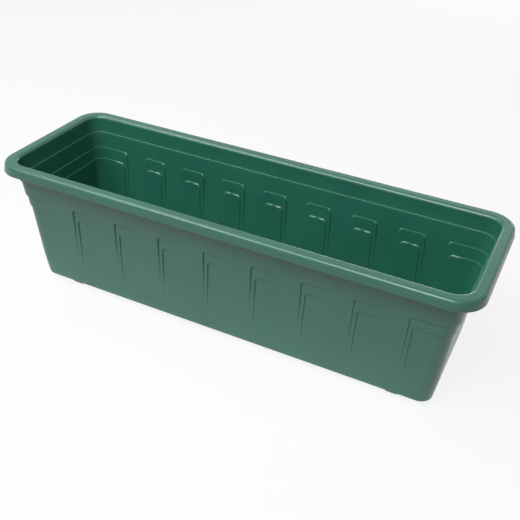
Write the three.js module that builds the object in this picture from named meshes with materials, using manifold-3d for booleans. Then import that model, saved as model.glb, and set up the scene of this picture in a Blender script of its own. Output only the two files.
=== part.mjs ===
// Window box planter: a long trough with sloping walls, moulded in one piece in satin green plastic.
// Millimetres. X runs along the length, Y towards the back and Z up.
// The origin is on the ground, under the middle of the trough.

import * as THREE from 'three';
import { mergeVertices } from 'three/addons/utils/BufferGeometryUtils.js';
import Module from 'manifold-3d';

// Overall size
const LENGTH = 610;
const DEPTH = 204;
const HEIGHT = 180;
const WALL = 2.2;

// Rim: a flat lip with a skirt that hangs down all round and flares out a little
const RIM_WIDTH = 15;
const SKIRT_DROP = 12;
const SKIRT_FLARE = 1.4;
const SKIRT_LIP_RADIUS = 0.8;
const RIM_OUTER_CORNER_RADIUS = 32;
const RIM_INNER_CORNER_RADIUS = 20;
const RIM_OUTER_EDGE_RADIUS = 4;
const RIM_INNER_EDGE_RADIUS = 4.5;

// Upper band: the nearly upright stretch of wall between the rim and the step below it
const STEP_DROP = 25;
const STEP_WIDTH = 1.8;
const BAND_LEAN_SIDES = 0.5;
const BAND_LEAN_ENDS = 1.7;

// Lower wall, which slopes in from the step to the floor
const SIDE_DRAFT = 5.7;
const END_DRAFT = 6.6;
const CORNER_RADIUS = 18.4;
const CORNER_CONE_ANGLE = 1.15;
const BASE_EDGE_RADIUS = 2;
const FLOOR_FILLET_RADIUS = 5;

// Sunk panels: each is deepest under its top ledge and runs out to nothing lower down the wall
const PANEL_COUNT = 7;
const PANEL_WIDTH = 30;
const PANEL_MARGIN = 4.6;
const PANEL_SIDE_DRAFT = 2.6;
const PANEL_CORNER_RADIUS = 4;
const END_PANEL_RETURN = 50.7;
const OUTER_PANEL = { drop: 47, depth: 1.8, runOut: 46, width: PANEL_WIDTH, endReturn: END_PANEL_RETURN };
const INNER_PANEL = {
  drop: 62.7,
  depth: 2.9,
  runOut: 30,
  width: PANEL_WIDTH - 2 * PANEL_MARGIN,
  endReturn: END_PANEL_RETURN - PANEL_MARGIN,
};

// Feet: hollow square pads pressed down out of the floor near its corners
const FOOT_HEIGHT = 11;
const FOOT_WIDTH = 18.5;
const FOOT_DRAFT = 2;
const FOOT_CORNER_RADIUS = 4;
const FOOT_EDGE_RADIUS = 3;
const FOOT_END_INSET = 46.5;
const FOOT_SIDE_INSET = 19;

// Drain holes in a row along the middle of the floor
const DRAIN_COUNT = 5;
const DRAIN_DIAMETER = 10;
const DRAIN_PITCH = 100;

// Smoothness
const CORNER_SEGMENTS = 10;
const FOOT_CORNER_SEGMENTS = 4;
const EDGE_SEGMENTS = 4;
const SMALL_EDGE_SEGMENTS = 2;
const PANEL_CORNER_SEGMENTS = 4;
const HOLE_SEGMENTS = 24;

// How far a cutting or joining solid runs past the face that it goes through
const OVERRUN = 5;

const wasm = await Module();
wasm.setup();

const slope = (degrees) => Math.tan(THREE.MathUtils.degToRad(degrees));

// Levels above the ground
const baseZ = FOOT_HEIGHT;
const floorZ = baseZ + WALL;
const stepZ = HEIGHT - STEP_DROP;
const webZ = HEIGHT - WALL;
const skirtZ = HEIGHT - SKIRT_DROP;

// A closed mesh as a solid that can be joined and cut
function solid(geometry) {
  const bare = geometry.clone();
  bare.deleteAttribute('normal');
  bare.deleteAttribute('uv');
  const merged = mergeVertices(bare, 1e-5);
  const vertProperties = new Float32Array(merged.attributes.position.array);
  const triVerts = new Uint32Array(merged.index.array);
  return new wasm.Manifold(new wasm.Mesh({ numProp: 3, vertProperties, triVerts }));
}

function geometryOf(manifold) {
  const mesh = manifold.getMesh();
  const geometry = new THREE.BufferGeometry();
  geometry.setAttribute('position', new THREE.BufferAttribute(mesh.vertProperties, 3));
  geometry.setIndex(new THREE.BufferAttribute(mesh.triVerts, 1));
  geometry.computeVertexNormals();
  return geometry;
}

// A level rounded rectangle: half-length x, half-depth y, corner radius r and height z
function ring(x, y, r, z) {
  return { x, y, r, z };
}

function moved(base, outwards, z) {
  return ring(base.x + outwards, base.y + outwards, base.r + outwards, z);
}

function between(low, high, z) {
  const t = (z - low.z) / (high.z - low.z);
  const mix = (a, b) => THREE.MathUtils.lerp(a, b, t);
  return ring(mix(low.x, high.x), mix(low.y, high.y), mix(low.r, high.r), z);
}

function ringPoints({ x, y, r, z }, cornerSegments) {
  const points = [];
  for (let corner = 0; corner < 4; corner += 1) {
    const centreX = (corner === 0 || corner === 3 ? 1 : -1) * (x - r);
    const centreY = (corner < 2 ? 1 : -1) * (y - r);
    for (let i = 0; i <= cornerSegments; i += 1) {
      const angle = (corner + i / cornerSegments) * (Math.PI / 2);
      points.push([centreX + r * Math.cos(angle), centreY + r * Math.sin(angle), z]);
    }
  }
  return points;
}

// A closed skin through the rings in turn, with a flat cap over the first and the last one
function loft(rings, cornerSegments = CORNER_SEGMENTS) {
  const perRing = 4 * (cornerSegments + 1);
  const positions = rings.flatMap((level) => ringPoints(level, cornerSegments)).flat();
  const bottom = rings.length * perRing;
  const top = bottom + 1;
  positions.push(0, 0, rings[0].z, 0, 0, rings.at(-1).z);
  const faces = [];
  for (let j = 0; j < perRing; j += 1) {
    const next = (j + 1) % perRing;
    const last = (rings.length - 1) * perRing;
    faces.push(bottom, next, j, top, last + j, last + next);
    for (let i = 0; i < rings.length - 1; i += 1) {
      const low = i * perRing;
      const high = low + perRing;
      faces.push(low + j, low + next, high + next, low + j, high + next, high + j);
    }
  }
  const geometry = new THREE.BufferGeometry();
  geometry.setAttribute('position', new THREE.Float32BufferAttribute(positions, 3));
  geometry.setIndex(faces);
  return solid(geometry);
}

// Rings round a rounded edge, whose angle is 0 facing outwards and a right angle facing up
function edgeArc(centre, radius, from, to, segments = EDGE_SEGMENTS) {
  const rings = [];
  for (let i = 0; i <= segments; i += 1) {
    const angle = THREE.MathUtils.lerp(from, to, i / segments);
    rings.push(moved(centre, radius * Math.cos(angle), centre.z + radius * Math.sin(angle)));
  }
  return rings;
}

// Outline of the rim's opening, and of the wall faces that hang from it
const opening = ring(
  LENGTH / 2 - SKIRT_FLARE - RIM_WIDTH,
  DEPTH / 2 - SKIRT_FLARE - RIM_WIDTH,
  RIM_INNER_CORNER_RADIUS,
  HEIGHT,
);
const rimOutline = ring(
  LENGTH / 2 - SKIRT_FLARE,
  DEPTH / 2 - SKIRT_FLARE,
  RIM_OUTER_CORNER_RADIUS,
  HEIGHT,
);
const bandFoot = ring(
  opening.x - BAND_LEAN_ENDS,
  opening.y - BAND_LEAN_SIDES,
  CORNER_RADIUS + STEP_WIDTH - WALL,
  stepZ + WALL,
);

// Outer face of the lower wall at height z, moved inwards by inset
function wallRing(z, inset) {
  const below = stepZ - z;
  const outwards = WALL - STEP_WIDTH - inset;
  return ring(
    bandFoot.x + outwards - below * slope(END_DRAFT),
    bandFoot.y + outwards - below * slope(SIDE_DRAFT),
    CORNER_RADIUS - inset - below * slope(CORNER_CONE_ANGLE),
    z,
  );
}

// The trough without its panels: up the outside, over the rim and down the inside to the floor
function plainTrough() {
  const right = Math.PI / 2;
  const lip = SKIRT_LIP_RADIUS;
  const outerLip = moved(rimOutline, SKIRT_FLARE - lip, skirtZ + lip);
  const innerLip = moved(outerLip, 2 * lip - WALL, outerLip.z);
  const baseEdge = moved(wallRing(baseZ, 0), -BASE_EDGE_RADIUS, baseZ + BASE_EDGE_RADIUS);
  const rimEdge = moved(rimOutline, -RIM_OUTER_EDGE_RADIUS, HEIGHT - RIM_OUTER_EDGE_RADIUS);
  const openingEdge = moved(opening, RIM_INNER_EDGE_RADIUS, HEIGHT - RIM_INNER_EDGE_RADIUS);
  // Under the rim the channel's corners turn about the same centres, so that the wall keeps its thickness
  const underRimEdge = RIM_OUTER_EDGE_RADIUS - WALL;
  const underOpeningEdge = RIM_INNER_EDGE_RADIUS - WALL;
  const skirtHead = rimEdge;
  const bandTop = between(bandFoot, opening, openingEdge.z);
  const bandHead = moved(bandTop, WALL + underOpeningEdge, openingEdge.z);
  const floorEdge = moved(wallRing(floorZ, WALL), -FLOOR_FILLET_RADIUS, floorZ + FLOOR_FILLET_RADIUS);
  return loft([
    ...edgeArc(baseEdge, BASE_EDGE_RADIUS, -right, 0),
    wallRing(stepZ, 0),
    moved(bandFoot, WALL, stepZ),
    ...edgeArc(bandHead, underOpeningEdge, 2 * right, right, SMALL_EDGE_SEGMENTS),
    ...edgeArc(skirtHead, underRimEdge, right, 0, SMALL_EDGE_SEGMENTS),
    ...edgeArc(innerLip, lip, -2 * right, -right, SMALL_EDGE_SEGMENTS),
    ...edgeArc(outerLip, lip, -right, 0, SMALL_EDGE_SEGMENTS),
    ...edgeArc(rimEdge, RIM_OUTER_EDGE_RADIUS, 0, right),
    ...edgeArc(openingEdge, RIM_INNER_EDGE_RADIUS, right, 2 * right),
    bandFoot,
    wallRing(stepZ + WALL, WALL),
    ...edgeArc(floorEdge, FLOOR_FILLET_RADIUS, 0, -right),
  ]);
}

// The face of a panel's bed, carried all round the trough, moved inwards by inset
function panelBed(panel, inset) {
  const topZ = HEIGHT - panel.drop;
  const runOutZ = baseZ + panel.runOut;
  const depthAt = (z) => (panel.depth * (z - runOutZ)) / (topZ - runOutZ);
  const bedRing = (z) => wallRing(z, inset + depthAt(z));
  return loft([bedRing(baseZ), bedRing(topZ + WALL + OVERRUN)]);
}

// An upright slab through the whole depth with the outline of a panel, grown on its top and sides
function panelSlab(panel, centreX, width, grow) {
  const topZ = HEIGHT - panel.drop + grow;
  const bottomZ = baseZ + panel.runOut - OVERRUN;
  const halfTop = width / 2 + grow;
  const radius = PANEL_CORNER_RADIUS + grow;
  const widen = (below) => halfTop + below * slope(PANEL_SIDE_DRAFT);
  const outline = new THREE.Shape();
  outline.moveTo(-widen(topZ - bottomZ), bottomZ);
  outline.lineTo(widen(topZ - bottomZ), bottomZ);
  outline.lineTo(widen(radius), topZ - radius);
  outline.quadraticCurveTo(halfTop, topZ, halfTop - radius, topZ);
  outline.lineTo(radius - halfTop, topZ);
  outline.quadraticCurveTo(-halfTop, topZ, -widen(radius), topZ - radius);
  outline.closePath();
  const slab = new THREE.ExtrudeGeometry(outline, {
    depth: DEPTH,
    bevelEnabled: false,
    curveSegments: PANEL_CORNER_SEGMENTS,
  });
  slab.rotateX(Math.PI / 2);
  slab.translate(centreX, DEPTH / 2, 0);
  return solid(slab);
}

// One kind of panel in all its places: a row along each side, and one wrapped round each end
function panelSlabs(panel, grow) {
  const endX = wallRing(HEIGHT - OUTER_PANEL.drop, 0).x;
  const firstEdge = endX - END_PANEL_RETURN;
  const pitch = (2 * firstEdge + PANEL_WIDTH) / (PANEL_COUNT + 1);
  const slabs = [
    panelSlab(panel, endX, 2 * panel.endReturn, grow),
    panelSlab(panel, -endX, 2 * panel.endReturn, grow),
  ];
  for (let i = 0; i < PANEL_COUNT; i += 1) {
    slabs.push(panelSlab(panel, (i - (PANEL_COUNT - 1) / 2) * pitch, panel.width, grow));
  }
  return slabs.reduce((all, slab) => all.add(slab));
}

// Sinking a panel takes plastic off the wall's outside and puts as much on its inside
function sinkPanels(trough, panel) {
  const topZ = HEIGHT - panel.drop;
  const middleOfWall = loft([wallRing(baseZ, WALL / 2), wallRing(topZ + WALL + OVERRUN, WALL / 2)]);
  const added = panelSlabs(panel, WALL).intersect(middleOfWall).subtract(panelBed(panel, WALL));
  const removed = panelSlabs(panel, 0).subtract(panelBed(panel, 0));
  return trough.add(added).subtract(removed);
}

// A foot's outside, or its inside when inset by the wall, from its sole up to topZ
function footBlock(inset, topZ) {
  const half = FOOT_WIDTH / 2 - FOOT_EDGE_RADIUS;
  const centre = ring(half, half, FOOT_CORNER_RADIUS - FOOT_EDGE_RADIUS, FOOT_EDGE_RADIUS);
  const radius = FOOT_EDGE_RADIUS - inset;
  const widening = (topZ - centre.z) * slope(FOOT_DRAFT);
  const rings = [
    ...edgeArc(centre, radius, -Math.PI / 2, 0, SMALL_EDGE_SEGMENTS),
    moved(centre, radius + widening, topZ),
  ];
  return loft(rings, FOOT_CORNER_SEGMENTS);
}

function drainHole() {
  const cutter = new THREE.CylinderGeometry(
    DRAIN_DIAMETER / 2,
    DRAIN_DIAMETER / 2,
    WALL + 2 * OVERRUN,
    HOLE_SEGMENTS,
  );
  cutter.rotateX(Math.PI / 2);
  return solid(cutter);
}

function planterBox() {
  let box = sinkPanels(sinkPanels(plainTrough(), OUTER_PANEL), INNER_PANEL);
  const base = wallRing(baseZ, 0);
  for (const side of [-1, 1]) {
    for (const end of [-1, 1]) {
      const place = [end * (base.x - FOOT_END_INSET), side * (base.y - FOOT_SIDE_INSET), 0];
      box = box.add(footBlock(0, baseZ + WALL / 2).translate(place));
      box = box.subtract(footBlock(WALL, floorZ + OVERRUN).translate(place));
    }
  }
  for (let i = 0; i < DRAIN_COUNT; i += 1) {
    const x = (i - (DRAIN_COUNT - 1) / 2) * DRAIN_PITCH;
    box = box.subtract(drainHole().translate([x, 0, floorZ - WALL / 2]));
  }
  return box;
}

const greenPlastic = new THREE.MeshStandardMaterial({ color: 0x2b6450, roughness: 0.4, metalness: 0 });

const planter = new THREE.Group();
const box = new THREE.Mesh(geometryOf(planterBox()), greenPlastic);
box.name = 'planter_box';
planter.add(box);

export default planter;
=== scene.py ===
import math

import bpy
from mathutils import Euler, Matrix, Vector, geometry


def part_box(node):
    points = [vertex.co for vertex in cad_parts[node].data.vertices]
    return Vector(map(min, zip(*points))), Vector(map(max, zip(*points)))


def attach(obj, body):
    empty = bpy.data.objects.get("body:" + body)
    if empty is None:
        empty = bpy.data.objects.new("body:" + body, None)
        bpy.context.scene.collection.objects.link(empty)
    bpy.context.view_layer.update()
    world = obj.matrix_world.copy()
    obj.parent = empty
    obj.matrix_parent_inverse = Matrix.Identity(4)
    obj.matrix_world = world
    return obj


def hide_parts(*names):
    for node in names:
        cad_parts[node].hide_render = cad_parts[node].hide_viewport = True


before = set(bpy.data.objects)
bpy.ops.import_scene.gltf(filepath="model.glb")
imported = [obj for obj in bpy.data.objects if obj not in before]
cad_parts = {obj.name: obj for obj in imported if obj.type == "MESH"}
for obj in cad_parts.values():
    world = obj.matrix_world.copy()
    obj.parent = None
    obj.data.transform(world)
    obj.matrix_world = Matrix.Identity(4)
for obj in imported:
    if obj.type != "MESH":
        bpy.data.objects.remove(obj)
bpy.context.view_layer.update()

# A window box planter: one hollow moulding in satin green polypropylene, on a white sweep.
# Sizes are millimetres in the frame of the part: X along the length, Y to the back, Z up,
# with the origin on the ground under the middle. The mesh is turned to metres as it is made, and the
# floor, lamps and camera are in metres.

MM = 0.001

# ---------------------------------------------------------------- sizes of the moulding

node_low, node_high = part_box("planter_box")
LENGTH = (node_high.x - node_low.x) / MM
DEPTH = (node_high.y - node_low.y) / MM
HEIGHT = (node_high.z - node_low.z) / MM
WALL = 2.2

RIM_WIDTH = 15
SKIRT_DROP = 12
SKIRT_FLARE = 1.4
SKIRT_LIP_RADIUS = 0.8
RIM_OUTER_CORNER_RADIUS = 32
RIM_INNER_CORNER_RADIUS = 20
RIM_OUTER_EDGE_RADIUS = 4
RIM_INNER_EDGE_RADIUS = 4.5

STEP_DROP = 25
STEP_WIDTH = 1.8
BAND_LEAN_SIDES = 0.5
BAND_LEAN_ENDS = 1.7

SIDE_DRAFT = 5.7
END_DRAFT = 6.6
CORNER_RADIUS = 18.4
CORNER_CONE_ANGLE = 1.15
BASE_EDGE_RADIUS = 2
FLOOR_FILLET_RADIUS = 5
SMALL_EDGE_RADIUS = 0.3

PANEL_COUNT = 7
PANEL_WIDTH = 30
PANEL_MARGIN = 4.6
PANEL_SIDE_DRAFT = 2.6
PANEL_CORNER_RADIUS = 4
PANEL_EDGE_SOFTNESS = 0.4
END_PANEL_RETURN = 50.7
OUTER_PANEL = {"drop": 47, "depth": 1.8, "run_out": 46, "margin": 0}
INNER_PANEL = {"drop": 62.7, "depth": 2.9, "run_out": 30, "margin": PANEL_MARGIN}

FOOT_HEIGHT = 11
FOOT_WIDTH = 18.5
FOOT_DRAFT = 2
FOOT_CORNER_RADIUS = 4
FOOT_EDGE_RADIUS = 3
FOOT_END_INSET = 46.5
FOOT_SIDE_INSET = 19
FOOT_FILLET_RADIUS = 1
POCKET_EDGE_RADIUS = 0.5

DRAIN_COUNT = 5
DRAIN_DIAMETER = 10
DRAIN_PITCH = 100
DRAIN_EDGE_RADIUS = 0.4

# The floor's bounce light is painted as a pool round the planter: it throws light back as if a white card lay
# under the planter and the floor past it were dim, though the camera and gloss see it white all over. The
# card's middle and half-size, how far past it the fading begins and ends, in metres, and how much comes back
# before and past that
PAINTED_BOUNCE_CENTRE = (0.03, 0.04, 0)
PAINTED_BOUNCE_HALF = (0.3, 0.114, 0)
PAINTED_BOUNCE_EDGE = 0.05
PAINTED_BOUNCE_FADED = 0.17
PAINTED_BOUNCE_WHITE = 0.95
PAINTED_BOUNCE_DIM = 0.15

# The floor's half-size in metres, and how much of what the camera sees of it is white of its own: the rest
# takes the planter's shadow
FLOOR_HALF = 20
FLOOR_GLOW = 0.87

# Width of the flat strip that is kept beside each rounding, so that the shading stays flat past it, and
# the turn in degrees past which an edge is crisp: the panels' edges are, the roundings' facets aren't
FLAT_STRIP = 0.4
SHARP_ANGLE = 40

BASE_Z = FOOT_HEIGHT
FLOOR_Z = BASE_Z + WALL
STEP_Z = HEIGHT - STEP_DROP
LEDGE_Z = STEP_Z + WALL
SKIRT_Z = HEIGHT - SKIRT_DROP

# ---------------------------------------------------------------- level outlines


def slope(degrees):
    return math.tan(math.radians(degrees))


class Ring:
    """A level rounded rectangle: half-length x, half-depth y, corner radius r, at height z."""

    def __init__(self, x, y, r, z):
        self.x, self.y, self.r, self.z = x, y, r, z

    def moved(self, outwards, z):
        return Ring(self.x + outwards, self.y + outwards, self.r + outwards, z)


def between(low, high, z):
    t = (z - low.z) / (high.z - low.z)
    return Ring(*(a + (b - a) * t for a, b in zip((low.x, low.y, low.r), (high.x, high.y, high.r))), z)


def edge_rings(centre, radius, start, end, steps):
    """Rings round a rounded edge, whose angle in degrees is 0 facing outwards and 90 facing up."""
    rings = []
    for i in range(steps + 1):
        angle = math.radians(start + (end - start) * i / steps)
        rings.append(centre.moved(radius * math.cos(angle), centre.z + radius * math.sin(angle)))
    return rings


opening = Ring(
    LENGTH / 2 - SKIRT_FLARE - RIM_WIDTH, DEPTH / 2 - SKIRT_FLARE - RIM_WIDTH, RIM_INNER_CORNER_RADIUS, HEIGHT
)
rim_outline = Ring(LENGTH / 2 - SKIRT_FLARE, DEPTH / 2 - SKIRT_FLARE, RIM_OUTER_CORNER_RADIUS, HEIGHT)
band_foot = Ring(
    opening.x - BAND_LEAN_ENDS, opening.y - BAND_LEAN_SIDES, CORNER_RADIUS + STEP_WIDTH - WALL, LEDGE_Z
)


def wall_ring(z, inset):
    """The lower wall's outer face at height z, moved inwards by inset."""
    below = STEP_Z - z
    outwards = WALL - STEP_WIDTH - inset
    return Ring(
        band_foot.x + outwards - below * slope(END_DRAFT),
        band_foot.y + outwards - below * slope(SIDE_DRAFT),
        CORNER_RADIUS - inset - below * slope(CORNER_CONE_ANGLE),
        z,
    )


# ---------------------------------------------------------------- the panels' places

END_X = wall_ring(HEIGHT - OUTER_PANEL["drop"], 0).x
PANEL_PITCH = (2 * (END_X - END_PANEL_RETURN) + PANEL_WIDTH) / (PANEL_COUNT + 1)

# Distances from a panel's edge at which the wall's mesh gets a line, from inside the panel to outside
EDGE_LINES = (3.6, 2.6, 1.8, 1.1, 0.5, 0.2, -0.2, -0.5, -1.1)
CORNER_STEPS = 12

# Heights of the wall's level lines under the panels' ledges, of which the last goes up with the ledges on
# the inside, and heights of those above the outer ledge, from that ledge
LOW_ROWS = (22, 29, 36, 43, 50, 57, 66, 75, 84, 93, 101)
LAST_LOW_ROW = 108
TOP_ROWS = (5, 11, 17)

# Where upright lines lie along the straight part of a ring's end, and of a side of the rim and band, as
# shares of its half-length
END_SHARES = (0.75, 0.4, 0)
SIDE_SHARES = (0, 0.3, 0.6, 0.85)


def panel_half_width(panel, z, grow):
    top = HEIGHT - panel["drop"] + grow
    return PANEL_WIDTH / 2 - panel["margin"] + grow + (top - z) * slope(PANEL_SIDE_DRAFT)


def end_panel_edge(panel, z, grow):
    """How far from the middle of the trough the panel that wraps round its end begins."""
    top = HEIGHT - panel["drop"] + grow
    return END_X - END_PANEL_RETURN + panel["margin"] - grow - (top - z) * slope(PANEL_SIDE_DRAFT)


def lines_along_wall(z, grow):
    """Places of the mesh's upright lines, from the trough's middle to its last panel line."""
    half_panel = [0]
    half_panel.append(panel_half_width(INNER_PANEL, z, grow) / 4)
    for panel in (INNER_PANEL, OUTER_PANEL):
        half_panel += [panel_half_width(panel, z, grow) - line for line in EDGE_LINES]
    lines = list(half_panel)
    for i in range(1, PANEL_COUNT // 2 + 1):
        centre = i * PANEL_PITCH
        left = [centre - place for place in reversed(half_panel)]
        lines += thirds(lines[-1], left[0]) + left + [centre + place for place in half_panel[1:]]
    end_lines = []
    for panel in (OUTER_PANEL, INNER_PANEL):
        end_lines += [end_panel_edge(panel, z, grow) + line for line in reversed(EDGE_LINES)]
    return lines + thirds(lines[-1], end_lines[0]) + end_lines


def thirds(a, b):
    return [a + (b - a) / 3, a + (b - a) * 2 / 3]


def quarter_points(ring, along):
    """Points of a quarter of the ring, and the way out of the wall at each: front middle to right middle."""
    straight_x, straight_y = ring.x - ring.r, ring.y - ring.r
    quarter = [(x, -ring.y, 0, -1) for x in along + thirds(along[-1], straight_x)]
    for i in range(CORNER_STEPS + 1):
        angle = math.pi / 2 * (i / CORNER_STEPS - 1)
        out_x, out_y = math.cos(angle), math.sin(angle)
        quarter.append((straight_x + ring.r * out_x, -straight_y + ring.r * out_y, out_x, out_y))
    quarter += [(ring.x, -straight_y * share, 1, 0) for share in END_SHARES]
    return quarter


def ring_points(ring, along):
    """All round the ring, counterclockwise seen from above, from its quarter and three mirror images."""
    right_front = quarter_points(ring, along)
    right_back = [(x, -y, nx, -ny) for x, y, nx, ny in reversed(right_front[:-1])]
    right = right_front + right_back
    left = [(-x, y, -nx, ny) for x, y, nx, ny in reversed(right[1:-1])]
    return right + left


def plain_lines(ring):
    """Places of the upright lines of the rim and band, which have no panels."""
    return [(ring.x - ring.r) * share for share in SIDE_SHARES]


# ---------------------------------------------------------------- the skin, ring by ring


class Skin:
    """Points and faces of the moulding, with the way into the wall at each point and how much larger the
    panels are there, which is nothing on the outside and the wall's thickness on the inside."""

    def __init__(self):
        self.points = []
        self.inward = []
        self.grow = []
        self.faces = []
        self.foot_loops = []

    def loop(self, places, z, grow=0.0):
        first = len(self.points)
        for x, y, out_x, out_y in places:
            self.points.append((x, y, z))
            self.inward.append((-out_x, -out_y, 0))
            self.grow.append(grow)
        return list(range(first, len(self.points)))

    def bridge(self, low, high):
        """Faces from one loop to the next, pointing out when low lies below high on an outer side."""
        count = len(low)
        for i in range(count):
            j = (i + 1) % count
            self.faces.append((low[i], low[j], high[j], high[i]))

    def zip_loops(self, low, high):
        """Faces between two loops of different counts, which start at the same side and turn alike."""
        i = j = 0
        low_turn, high_turn = self.turn(low), self.turn(high)
        while i < len(low) or j < len(high):
            go_low = j >= len(high) or (i < len(low) and low_turn[i + 1] <= high_turn[j + 1])
            a, b = low[i % len(low)], high[j % len(high)]
            if go_low:
                i += 1
                self.faces.append((a, low[i % len(low)], b))
            else:
                j += 1
                self.faces.append((a, high[j % len(high)], b))

    def turn(self, loop):
        """The share of the way round the loop at each of its points, ending with 1 at the start again."""
        lengths = [0.0]
        for a, b in zip(loop, loop[1:] + loop[:1]):
            lengths.append(lengths[-1] + math.dist(self.points[a], self.points[b]))
        return [length / lengths[-1] for length in lengths]

    def wall(self, ring, grow):
        return self.loop(ring_points(ring, lines_along_wall(ring.z, grow)), ring.z, grow)

    def plain(self, ring):
        return self.loop(ring_points(ring, plain_lines(ring)), ring.z)

    def run(self, loops):
        for low, high in zip(loops, loops[1:]):
            self.bridge(low, high)
        return loops


def panel_rows(grow):
    """Heights of the wall's level lines from its foot to its top, closer together at the panels' ledges."""
    inner_top = HEIGHT - INNER_PANEL["drop"] + grow
    outer_top = HEIGHT - OUTER_PANEL["drop"] + grow
    rows = [*LOW_ROWS, LAST_LOW_ROW + grow]
    rows += [inner_top - line for line in EDGE_LINES]
    rows += thirds(inner_top - EDGE_LINES[-1], outer_top - EDGE_LINES[0])
    rows += [outer_top - line for line in EDGE_LINES]
    return rows + [outer_top + row for row in TOP_ROWS]


def build_skin():
    skin = Skin()
    edge = SMALL_EDGE_RADIUS

    # Up the outside from the underside of the floor to the step
    base_edge = wall_ring(BASE_Z, 0).moved(-BASE_EDGE_RADIUS, BASE_Z + BASE_EDGE_RADIUS)
    rings = [base_edge.moved(-FLAT_STRIP, BASE_Z)]
    rings += edge_rings(base_edge, BASE_EDGE_RADIUS, -90, 0, steps=4)
    rings += [wall_ring(z, 0) for z in panel_rows(0)]
    rings += edge_rings(wall_ring(STEP_Z, 0).moved(edge, STEP_Z - edge), edge, 180, 90, steps=3)
    outside = skin.run([skin.wall(ring, 0.0) for ring in rings])

    # Over the hollow rim: out under the web, down and up the skirt, and in to the ledge
    lip = SKIRT_LIP_RADIUS
    band_edge = band_foot.moved(WALL - edge, STEP_Z + edge)
    rim_edge = rim_outline.moved(-RIM_OUTER_EDGE_RADIUS, HEIGHT - RIM_OUTER_EDGE_RADIUS)
    opening_edge = opening.moved(RIM_INNER_EDGE_RADIUS, HEIGHT - RIM_INNER_EDGE_RADIUS)
    under_rim_edge = RIM_OUTER_EDGE_RADIUS - WALL
    under_opening_edge = RIM_INNER_EDGE_RADIUS - WALL
    band_head = between(band_foot, opening, opening_edge.z).moved(WALL + under_opening_edge, opening_edge.z)
    outer_lip = rim_outline.moved(SKIRT_FLARE - lip, SKIRT_Z + lip)
    inner_lip = outer_lip.moved(2 * lip - WALL, outer_lip.z)
    ledge_fillet = band_foot.moved(-edge, LEDGE_Z + edge)
    rings = edge_rings(band_edge, edge, -90, 0, steps=3)
    rings += edge_rings(band_head, under_opening_edge, 180, 90, steps=4)
    rings += edge_rings(rim_edge, under_rim_edge, 90, 0, steps=4)
    rings += edge_rings(inner_lip, lip, -180, -90, steps=3)
    rings += edge_rings(outer_lip, lip, -90, 0, steps=3)
    rings += edge_rings(rim_edge, RIM_OUTER_EDGE_RADIUS, 0, 90, steps=7)
    rings += [rim_outline.moved(-RIM_OUTER_EDGE_RADIUS - FLAT_STRIP, HEIGHT)]
    rings += [opening.moved(RIM_INNER_EDGE_RADIUS + FLAT_STRIP, HEIGHT)]
    rings += edge_rings(opening_edge, RIM_INNER_EDGE_RADIUS, 90, 180, steps=8)
    rings += edge_rings(ledge_fillet, edge, 0, -90, steps=3)
    rim = skin.run([skin.plain(ring) for ring in rings])
    skin.zip_loops(outside[-1], rim[0])

    # Down the inside from the ledge to the floor
    ledge_edge = wall_ring(LEDGE_Z, WALL).moved(edge, LEDGE_Z - edge)
    floor_edge = wall_ring(FLOOR_Z, WALL).moved(-FLOOR_FILLET_RADIUS, FLOOR_Z + FLOOR_FILLET_RADIUS)
    rings = edge_rings(ledge_edge, edge, 90, 180, steps=3)
    rings += [wall_ring(z, WALL) for z in reversed(panel_rows(WALL))]
    rings += edge_rings(floor_edge, FLOOR_FILLET_RADIUS, 0, -90, steps=6)
    rings += [floor_edge.moved(-FLAT_STRIP, FLOOR_Z)]
    inside = skin.run([skin.wall(ring, WALL) for ring in rings])
    skin.zip_loops(rim[-1], inside[0])

    under_floor = [outside[0]]
    on_floor = [inside[-1]]
    add_feet(skin, under_floor, on_floor)
    add_drains(skin, under_floor, on_floor)
    return skin, under_floor, on_floor


def square_points(ring, centre_x, centre_y, corner_steps=6):
    """A small rounded square, or a circle where its corners meet, counterclockwise seen from above."""
    points = []
    per_corner = corner_steps + 1 if ring.x > ring.r else corner_steps
    for corner in range(4):
        mid_x = centre_x + (1 if corner in (0, 3) else -1) * (ring.x - ring.r)
        mid_y = centre_y + (1 if corner < 2 else -1) * (ring.y - ring.r)
        for i in range(per_corner):
            angle = math.pi / 2 * (corner + i / corner_steps)
            out_x, out_y = math.cos(angle), math.sin(angle)
            points.append((mid_x + ring.r * out_x, mid_y + ring.r * out_y, out_x, out_y))
    return points


def foot_ring(inset, z):
    """A foot's side at height z, moved inwards by inset."""
    half = FOOT_WIDTH / 2 + (z - FOOT_EDGE_RADIUS) * slope(FOOT_DRAFT) - inset
    return Ring(half, half, FOOT_CORNER_RADIUS + half - FOOT_WIDTH / 2, z)


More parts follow.
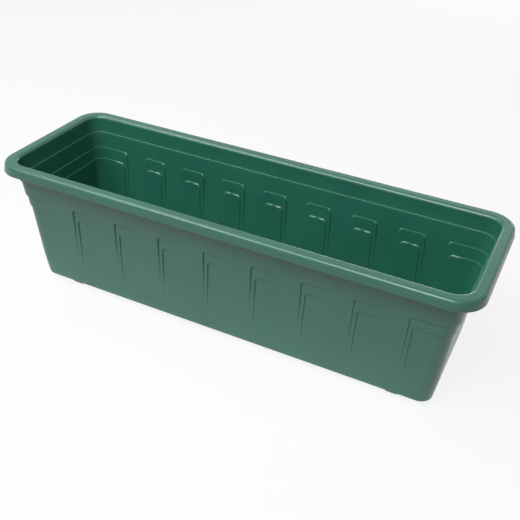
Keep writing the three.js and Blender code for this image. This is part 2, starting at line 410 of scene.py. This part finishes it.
def add_feet(skin, under_floor, on_floor):
    """Four hollow pads: the outside hangs from the floor's underside, and the pocket opens in the floor."""
    fillet = FOOT_FILLET_RADIUS
    sole_edge = foot_ring(FOOT_EDGE_RADIUS, FOOT_EDGE_RADIUS)
    outer = [sole_edge.moved(-FLAT_STRIP, 0)]
    outer += edge_rings(sole_edge, FOOT_EDGE_RADIUS, -90, 0, steps=5)
    head = foot_ring(0, BASE_Z - fillet).moved(fillet, BASE_Z - fillet)
    outer += edge_rings(head, fillet, 180, 90, steps=3)
    outer += [foot_ring(0, BASE_Z).moved(fillet + FLAT_STRIP, BASE_Z)]
    pocket_radius = FOOT_EDGE_RADIUS - WALL
    pocket_edge = foot_ring(WALL + pocket_radius, WALL + pocket_radius)
    mouth = POCKET_EDGE_RADIUS
    pocket = [foot_ring(WALL, FLOOR_Z).moved(mouth + FLAT_STRIP, FLOOR_Z)]
    rim = foot_ring(WALL, FLOOR_Z - mouth).moved(mouth, FLOOR_Z - mouth)
    pocket += edge_rings(rim, mouth, 90, 180, steps=3)
    pocket += edge_rings(pocket_edge, pocket_radius, 0, -90, steps=3)
    pocket += [pocket_edge.moved(-FLAT_STRIP, WALL)]
    base = wall_ring(BASE_Z, 0)
    for side in (-1, 1):
        for end in (-1, 1):
            place = (end * (base.x - FOOT_END_INSET), side * (base.y - FOOT_SIDE_INSET))
            loops = skin.run([skin.loop(square_points(ring, *place), ring.z) for ring in outer])
            skin.foot_loops.append((loops[0], False))
            under_floor.append(loops[-1])
            loops = skin.run([skin.loop(square_points(ring, *place), ring.z) for ring in pocket])
            skin.foot_loops.append((loops[-1], True))
            on_floor.append(loops[0])


def add_drains(skin, under_floor, on_floor):
    """Round holes in a row along the middle of the floor, with their edges broken a little."""
    radius = DRAIN_DIAMETER / 2
    edge = DRAIN_EDGE_RADIUS
    hole = Ring(radius, radius, radius, 0)
    rings = [hole.moved(edge + FLAT_STRIP, FLOOR_Z)]
    rings += edge_rings(hole.moved(edge, FLOOR_Z - edge), edge, 90, 180, steps=2)
    rings += edge_rings(hole.moved(edge, BASE_Z + edge), edge, 180, 270, steps=2)
    rings += [hole.moved(edge + FLAT_STRIP, BASE_Z)]
    for i in range(DRAIN_COUNT):
        x = (i - (DRAIN_COUNT - 1) / 2) * DRAIN_PITCH
        loops = skin.run([skin.loop(square_points(ring, x, 0), ring.z) for ring in rings])
        on_floor.append(loops[0])
        under_floor.append(loops[-1])


def inside_loop(x, y, outline):
    """Whether a point lies inside a small convex outline that turns counterclockwise."""
    pairs = zip(outline, outline[1:] + outline[:1])
    return all((bx - ax) * (y - ay) - (by - ay) * (x - ax) > 0 for (ax, ay), (bx, by) in pairs)


# How delaunay_2d_cdt is asked for triangles inside the outer loop, and how close points have to be to merge
INSIDE_ONLY = 1
MERGE_WITHIN = 1e-4


def flat_faces(points, loops, facing_up):
    """Triangles between the first loop and the others, which are holes in it."""
    indexes = [index for loop in loops for index in loop]
    local = {index: i for i, index in enumerate(indexes)}
    edges = [(local[a], local[b]) for loop in loops for a, b in zip(loop, loop[1:] + loop[:1])]
    flat = [Vector(points[index][:2]) for index in indexes]
    _, _, triangles, made_from, _, _ = geometry.delaunay_2d_cdt(flat, edges, [], INSIDE_ONLY, MERGE_WITHIN)
    holes = [[points[index][:2] for index in loop] for loop in loops[1:]]
    faces = []
    for triangle in triangles:
        corners = [indexes[made_from[i][0]] for i in triangle]
        x, y = (sum(points[index][axis] for index in corners) / 3 for axis in (0, 1))
        if not any(inside_loop(x, y, hole) for hole in holes):
            faces.append(corners if facing_up else corners[::-1])
    return faces


def skin_mesh(name):
    """The closed mesh, in metres: the skin, then flat faces across the floor, its underside and the feet."""
    skin, under_floor, on_floor = build_skin()
    faces = skin.faces + flat_faces(skin.points, under_floor, False) + flat_faces(skin.points, on_floor, True)
    for loop, facing_up in skin.foot_loops:
        faces += flat_faces(skin.points, [loop], facing_up)
    mesh = bpy.data.meshes.new(name)
    mesh.from_pydata([[value * MM for value in point] for point in skin.points], [], faces)
    mesh.attributes.new("inward", "FLOAT_VECTOR", "POINT").data.foreach_set(
        "vector", [value for way in skin.inward for value in way]
    )
    mesh.attributes.new("grow", "FLOAT", "POINT").data.foreach_set("value", [v * MM for v in skin.grow])
    mesh.shade_smooth()
    return mesh


# ---------------------------------------------------------------- the rule that sinks the panels


def add(tree, kind, inputs=None, **settings):
    """A node with its settings, whose inputs each take a value or another node's output."""
    new = tree.nodes.new(kind)
    for name, value in settings.items():
        setattr(new, name, value)
    for key, value in (inputs or {}).items():
        if isinstance(value, bpy.types.NodeSocket):
            tree.links.new(value, new.inputs[key])
        else:
            new.inputs[key].default_value = value
    return new


def sunk_panels_tree():
    """Moves each point of the wall inwards by the depth of the panel that it lies in."""
    tree = bpy.data.node_groups.new("sunk_panels", "GeometryNodeTree")
    tree.is_modifier = True
    socket = tree.interface.new_socket
    socket("Wall", in_out="INPUT", socket_type="NodeSocketGeometry")
    sizes = ["Pitch", "Last Panel", "End Centre", "Side Slope", "Corner Radius", "Edge Softness"]
    for kind in ("Outer", "Inner"):
        sizes += [f"{kind} {size}" for size in ("Top", "Depth", "Run Out", "Half Width", "End Half Width")]
    for size in sizes:
        socket(size, in_out="INPUT", socket_type="NodeSocketFloat")
    socket("Plastic", in_out="INPUT", socket_type="NodeSocketMaterial")
    socket("Wall", in_out="OUTPUT", socket_type="NodeSocketGeometry")
    given = add(tree, "NodeGroupInput").outputs

    def maths(operation, a, b=0.0, c=0.0):
        return add(tree, "ShaderNodeMath", {0: a, 1: b, 2: c}, operation=operation).outputs[0]

    def stored(name, data_type):
        node = add(tree, "GeometryNodeInputNamedAttribute", {"Name": name}, data_type=data_type)
        return node.outputs["Attribute"]

    place = add(tree, "ShaderNodeSeparateXYZ", {0: add(tree, "GeometryNodeInputPosition").outputs[0]})
    x, z = place.outputs["X"], place.outputs["Z"]
    inward = stored("inward", "FLOAT_VECTOR")
    grow = stored("grow", "FLOAT")

    # Distance along the wall from the nearest panel's middle, in the row and at the ends
    last = given["Last Panel"]
    index = maths("ROUND", maths("DIVIDE", x, given["Pitch"]))
    index = maths("MINIMUM", maths("MAXIMUM", index, maths("MULTIPLY", last, -1.0)), last)
    from_row = maths("ABSOLUTE", maths("SUBTRACT", x, maths("MULTIPLY", index, given["Pitch"])))
    from_end = maths("ABSOLUTE", maths("SUBTRACT", maths("ABSOLUTE", x), given["End Centre"]))

    sink = 0.0
    for kind in ("Outer", "Inner"):
        below = maths("SUBTRACT", maths("ADD", given[f"{kind} Top"], grow), z)
        widening = maths("MULTIPLY_ADD", below, given["Side Slope"], grow)
        in_row = maths("SUBTRACT", maths("ADD", given[f"{kind} Half Width"], widening), from_row)
        in_end = maths("SUBTRACT", maths("ADD", given[f"{kind} End Half Width"], widening), from_end)
        radius = maths("ADD", given["Corner Radius"], grow)
        from_side = maths("MAXIMUM", maths("SUBTRACT", radius, maths("MAXIMUM", in_row, in_end)), 0.0)
        from_top = maths("MAXIMUM", maths("SUBTRACT", radius, below), 0.0)
        squares = maths("MULTIPLY_ADD", from_side, from_side, maths("MULTIPLY", from_top, from_top))
        inside = maths("SUBTRACT", radius, maths("SQRT", squares))
        half = maths("MULTIPLY", given["Edge Softness"], 0.5)
        edge = add(
            tree,
            "ShaderNodeMapRange",
            {"Value": inside, "From Min": maths("MULTIPLY", half, -1.0), "From Max": half},
            interpolation_type="SMOOTHSTEP",
        ).outputs[0]
        bed = add(
            tree,
            "ShaderNodeMapRange",
            {
                "Value": z,
                "From Min": given[f"{kind} Run Out"],
                "From Max": given[f"{kind} Top"],
                "To Max": given[f"{kind} Depth"],
            },
            clamp=False,
        ).outputs[0]
        bed = maths("MAXIMUM", bed, 0.0)
        sink = maths("MULTIPLY_ADD", edge, maths("SUBTRACT", bed, sink), sink)

    offset = add(tree, "ShaderNodeVectorMath", {0: inward, "Scale": sink}, operation="SCALE")
    sunk = add(tree, "GeometryNodeSetPosition", {"Geometry": given["Wall"], "Offset": offset.outputs[0]})
    whole = add(tree, "GeometryNodeRealizeInstances", {"Geometry": sunk.outputs[0]})
    finish = {"Geometry": whole.outputs[0], "Material": given["Plastic"]}
    finished = add(tree, "GeometryNodeSetMaterial", finish)
    add(tree, "NodeGroupOutput", {"Wall": finished.outputs[0]})
    return tree


def set_input(modifier, name, value):
    """Sets a modifier's input by the identifier of the socket with that name."""
    for item in modifier.node_group.interface.items_tree:
        if item.item_type == "SOCKET" and item.in_out == "INPUT" and item.name == name:
            modifier[item.identifier] = value


def sink_panels(body, plastic):
    modifier = body.modifiers.new("sunk_panels", "NODES")
    modifier.node_group = sunk_panels_tree()
    set_input(modifier, "Pitch", PANEL_PITCH * MM)
    set_input(modifier, "Last Panel", float(PANEL_COUNT // 2))
    set_input(modifier, "End Centre", END_X * MM)
    set_input(modifier, "Side Slope", slope(PANEL_SIDE_DRAFT))
    set_input(modifier, "Corner Radius", PANEL_CORNER_RADIUS * MM)
    set_input(modifier, "Edge Softness", PANEL_EDGE_SOFTNESS * MM)
    for kind, panel in (("Outer", OUTER_PANEL), ("Inner", INNER_PANEL)):
        set_input(modifier, f"{kind} Top", (HEIGHT - panel["drop"]) * MM)
        set_input(modifier, f"{kind} Depth", panel["depth"] * MM)
        set_input(modifier, f"{kind} Run Out", (BASE_Z + panel["run_out"]) * MM)
        set_input(modifier, f"{kind} Half Width", (PANEL_WIDTH / 2 - panel["margin"]) * MM)
        set_input(modifier, f"{kind} End Half Width", (END_PANEL_RETURN - panel["margin"]) * MM)
    set_input(modifier, "Plastic", plastic)
    bpy.context.view_layer.update()
    evaluated = body.evaluated_get(bpy.context.evaluated_depsgraph_get())
    finished = bpy.data.meshes.new_from_object(evaluated)
    body.modifiers.remove(modifier)
    finished.set_sharp_from_angle(angle=math.radians(SHARP_ANGLE))
    body.data = finished
    for name in ("inward", "grow"):
        finished.attributes.remove(finished.attributes[name])


# ---------------------------------------------------------------- materials

# The colour sockets of the Mix node, which has others of the same names
MIX_FIRST, MIX_SECOND, MIX_RESULT = 6, 7, 2


def linear(hex_code):
    """A colour written as an sRGB hex code, turned linear."""
    values = [int(hex_code[i : i + 2], 16) / 255 for i in (1, 3, 5)]
    return (*(v / 12.92 if v <= 0.04045 else ((v + 0.055) / 1.055) ** 2.4 for v in values), 1.0)


def new_material(name):
    material = bpy.data.materials.new(name)
    material.use_nodes = True
    material.node_tree.nodes.clear()
    return material, material.node_tree


def gloss_or_glass(tree, ray):
    """1 for the rays by which gloss and glass see, and 0 for all others."""
    rays = {0: ray["Is Glossy Ray"], 1: ray["Is Transmission Ray"]}
    return add(tree, "ShaderNodeMath", rays, operation="ADD").outputs[0]


def noise(tree, vector, scale, detail, roughness=0.5):
    """A noise texture whose clouds are about 1 / scale metres across."""
    inputs = {"Vector": vector, "Scale": scale, "Detail": detail, "Roughness": roughness}
    return add(tree, "ShaderNodeTexNoise", inputs).outputs["Fac"]


def green_polypropylene():
    """Injection-moulded polypropylene, coloured through: satin, with a deep green under a grey gloss."""
    material, tree = new_material("satin_moulded_polypropylene")
    place = add(tree, "ShaderNodeTexCoord").outputs["Object"]

    # Masterbatch is never mixed in quite evenly: clouds about 70 mm across, a shade lighter and darker
    clouds = noise(tree, place, 14.0, 3.0)
    shades = {"Factor": clouds, MIX_FIRST: linear("#205E4D"), MIX_SECOND: linear("#2A6E5B")}
    colour = add(tree, "ShaderNodeMix", shades, data_type="RGBA").outputs[MIX_RESULT]

    # Melt runs up the walls from the floor: streaks about 4 mm wide and 125 mm long over patches about
    # 30 mm across, seen only in the gloss
    along = add(tree, "ShaderNodeMapping", {"Vector": place, "Scale": (250.0, 250.0, 8.0)}).outputs[0]
    marks = {0: noise(tree, along, 1.0, 2.0), 1: noise(tree, place, 30.0, 4.0, 0.6)}
    gloss = add(tree, "ShaderNodeMath", marks, operation="ADD").outputs[0]
    gloss_range = {"Value": gloss, "From Min": 0.6, "From Max": 1.4, "To Min": 0.29, "To Max": 0.37}
    roughness = add(tree, "ShaderNodeMapRange", gloss_range).outputs[0]

    # Spark-eroded grain of the mould, really about 0.1 mm, drawn at 1 mm so that it isn't lost between
    # pixels, and the slight waviness that is left as thin walls shrink
    grain = {"Height": noise(tree, place, 1000.0, 1.0), "Strength": 0.25, "Distance": 0.0001}
    grained = add(tree, "ShaderNodeBump", grain).outputs[0]
    waves = {"Height": noise(tree, place, 22.0, 0.0), "Strength": 1.0, "Distance": 0.0005, "Normal": grained}
    wavy = add(tree, "ShaderNodeBump", waves).outputs[0]
    shader = add(
        tree,
        "ShaderNodeBsdfPrincipled",
        {
            "Base Color": colour,
            "Roughness": roughness,
            "IOR": 1.49,
            "Specular IOR Level": 0.7,
            "Normal": wavy,
        },
    )
    add(tree, "ShaderNodeOutputMaterial", {"Surface": shader.outputs[0]})
    return material


def white_sweep():
    """Matt white floor: white with a soft shadow to the camera, gloss and glass, and to the rest a card,
    which is a painted pool of bounce light.
    """
    material, tree = new_material("matt_white_sweep")
    ray = add(tree, "ShaderNodeLightPath").outputs
    place = add(tree, "ShaderNodeTexCoord").outputs["Object"]
    matt = add(tree, "ShaderNodeBsdfDiffuse", {"Color": linear("#E6E6E6")}).outputs[0]
    white = add(tree, "ShaderNodeEmission", {"Color": linear("#FFFFFF"), "Strength": 1.0}).outputs[0]
    white_floor = add(tree, "ShaderNodeMixShader", {0: FLOOR_GLOW, 1: matt, 2: white}).outputs[0]

    # How far the spot lies from the card, whose painted pool of bounce light dims past it
    spot = add(tree, "ShaderNodeVectorMath", {0: place, 1: PAINTED_BOUNCE_CENTRE}, operation="SUBTRACT").outputs[0]
    spot = add(tree, "ShaderNodeVectorMath", {0: spot}, operation="ABSOLUTE").outputs[0]
    spot = add(tree, "ShaderNodeVectorMath", {0: spot, 1: PAINTED_BOUNCE_HALF}, operation="SUBTRACT").outputs[0]
    spot = add(tree, "ShaderNodeVectorMath", {0: spot, 1: (0, 0, 0)}, operation="MAXIMUM").outputs[0]
    away = add(tree, "ShaderNodeVectorMath", {0: spot}, operation="LENGTH").outputs["Value"]
    painted_bounce_shade = add(
        tree,
        "ShaderNodeMapRange",
        {
            "Value": away,
            "From Min": PAINTED_BOUNCE_EDGE,
            "From Max": PAINTED_BOUNCE_FADED,
            "To Min": PAINTED_BOUNCE_WHITE,
            "To Max": PAINTED_BOUNCE_DIM,
        },
        interpolation_type="SMOOTHSTEP",
    )
    # Painted pool of bounce light: the floor's colour for light thrown back, white on the card and dim past
    # it
    painted_bounce_pool = add(tree, "ShaderNodeBsdfDiffuse", {"Color": painted_bounce_shade.outputs[0]}).outputs[0]

    # Camera, gloss and glass see the white floor, and only the light that it throws back is the card's
    # painted pool
    rays = {0: gloss_or_glass(tree, ray), 1: ray["Is Camera Ray"]}
    shown = add(tree, "ShaderNodeMath", rays, operation="ADD", use_clamp=True).outputs[0]
    seen = add(tree, "ShaderNodeMixShader", {0: shown, 1: painted_bounce_pool, 2: white_floor})
    add(tree, "ShaderNodeOutputMaterial", {"Surface": seen.outputs[0]})
    return material


# ---------------------------------------------------------------- the planter

body = bpy.data.objects.new("planter_body", skin_mesh("planter_body"))
bpy.context.scene.collection.objects.link(body)
sink_panels(body, green_polypropylene())
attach(body, "root")
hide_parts("planter_box")

# ---------------------------------------------------------------- floor, light and camera

sweep = bpy.data.objects.new("floor", bpy.data.meshes.new("floor"))
ways = ((-1, -1), (1, -1), (1, 1), (-1, 1))
sweep.data.from_pydata([(FLOOR_HALF * x, FLOOR_HALF * y, 0) for x, y in ways], [], [(0, 1, 2, 3)])
sweep.data.materials.append(white_sweep())
bpy.context.scene.collection.objects.link(sweep)


LAMP_TARGET = Vector((0, 0, 0.1))


def softbox(name, place, width, height, power):
    """A soft lamp at a place in metres, turned to the planter, which the camera doesn't see."""
    lamp = bpy.data.lights.new(name, "AREA")
    lamp.shape = "RECTANGLE"
    lamp.size, lamp.size_y, lamp.energy = width, height, power
    lamp_object = bpy.data.objects.new(name, lamp)
    lamp_object.location = place
    lamp_object.rotation_euler = (LAMP_TARGET - Vector(place)).to_track_quat("-Z", "Y").to_euler()
    lamp_object.visible_camera = False
    bpy.context.scene.collection.objects.link(lamp_object)


softbox("key_softbox", (0, -1.41, 1.79), 0.8, 0.8, 27)
softbox("high_softbox", (0, -0.92, 2.1), 0.8, 0.8, 4)
softbox("side_softbox", (-0.99, -0.99, 1.8), 0.8, 0.8, 20)
softbox("left_softbox", (-1.1, 0.2, 1.95), 0.8, 0.8, 10)
softbox("low_fill_softbox", (0, 2.2, 0.45), 1.4, 0.5, 9)

# A dim air that lights evenly, a backdrop for gloss and glass, white at the horizon and greyer higher up,
# and plain white for the camera
world = bpy.data.worlds.new("white_studio")
bpy.context.scene.world = world
world.use_nodes = True
sky = world.node_tree
sky.nodes.clear()
ray = add(sky, "ShaderNodeLightPath").outputs
way = add(sky, "ShaderNodeTexCoord").outputs["Generated"]
height = add(sky, "ShaderNodeSeparateXYZ", {0: way}).outputs["Z"]
fading = add(sky, "ShaderNodeMapRange", {"Value": height, "From Max": 0.5, "To Min": 1.0, "To Max": 0.76})
air = add(sky, "ShaderNodeBackground", {"Color": linear("#FFFFFF"), "Strength": 0.04})
backdrop = add(sky, "ShaderNodeBackground", {"Color": linear("#FFFFFF"), "Strength": fading.outputs[0]})
white = add(sky, "ShaderNodeBackground", {"Color": linear("#FFFFFF"), "Strength": 1.0})
gloss = gloss_or_glass(sky, ray)
seen = add(sky, "ShaderNodeMixShader", {0: gloss, 1: air.outputs[0], 2: backdrop.outputs[0]})
seen = add(sky, "ShaderNodeMixShader", {0: ray["Is Camera Ray"], 1: seen.outputs[0], 2: white.outputs[0]})
add(sky, "ShaderNodeOutputWorld", {"Surface": seen.outputs[0]})

CAMERA_PLACE = (0.35284, -0.72329, 0.61931)
CAMERA_TURN = (56.0613, -2.3174, 26.2676)
LENS = 52.70
SENSOR_WIDTH = 36
camera = bpy.data.objects.new("camera", bpy.data.cameras.new("camera"))
camera.location = CAMERA_PLACE
camera.rotation_euler = Euler([math.radians(angle) for angle in CAMERA_TURN], "XYZ")
camera.data.sensor_width = SENSOR_WIDTH
camera.data.lens = LENS
bpy.context.scene.collection.objects.link(camera)
bpy.context.scene.camera = camera
bpy.context.scene.view_settings.view_transform = "Standard"
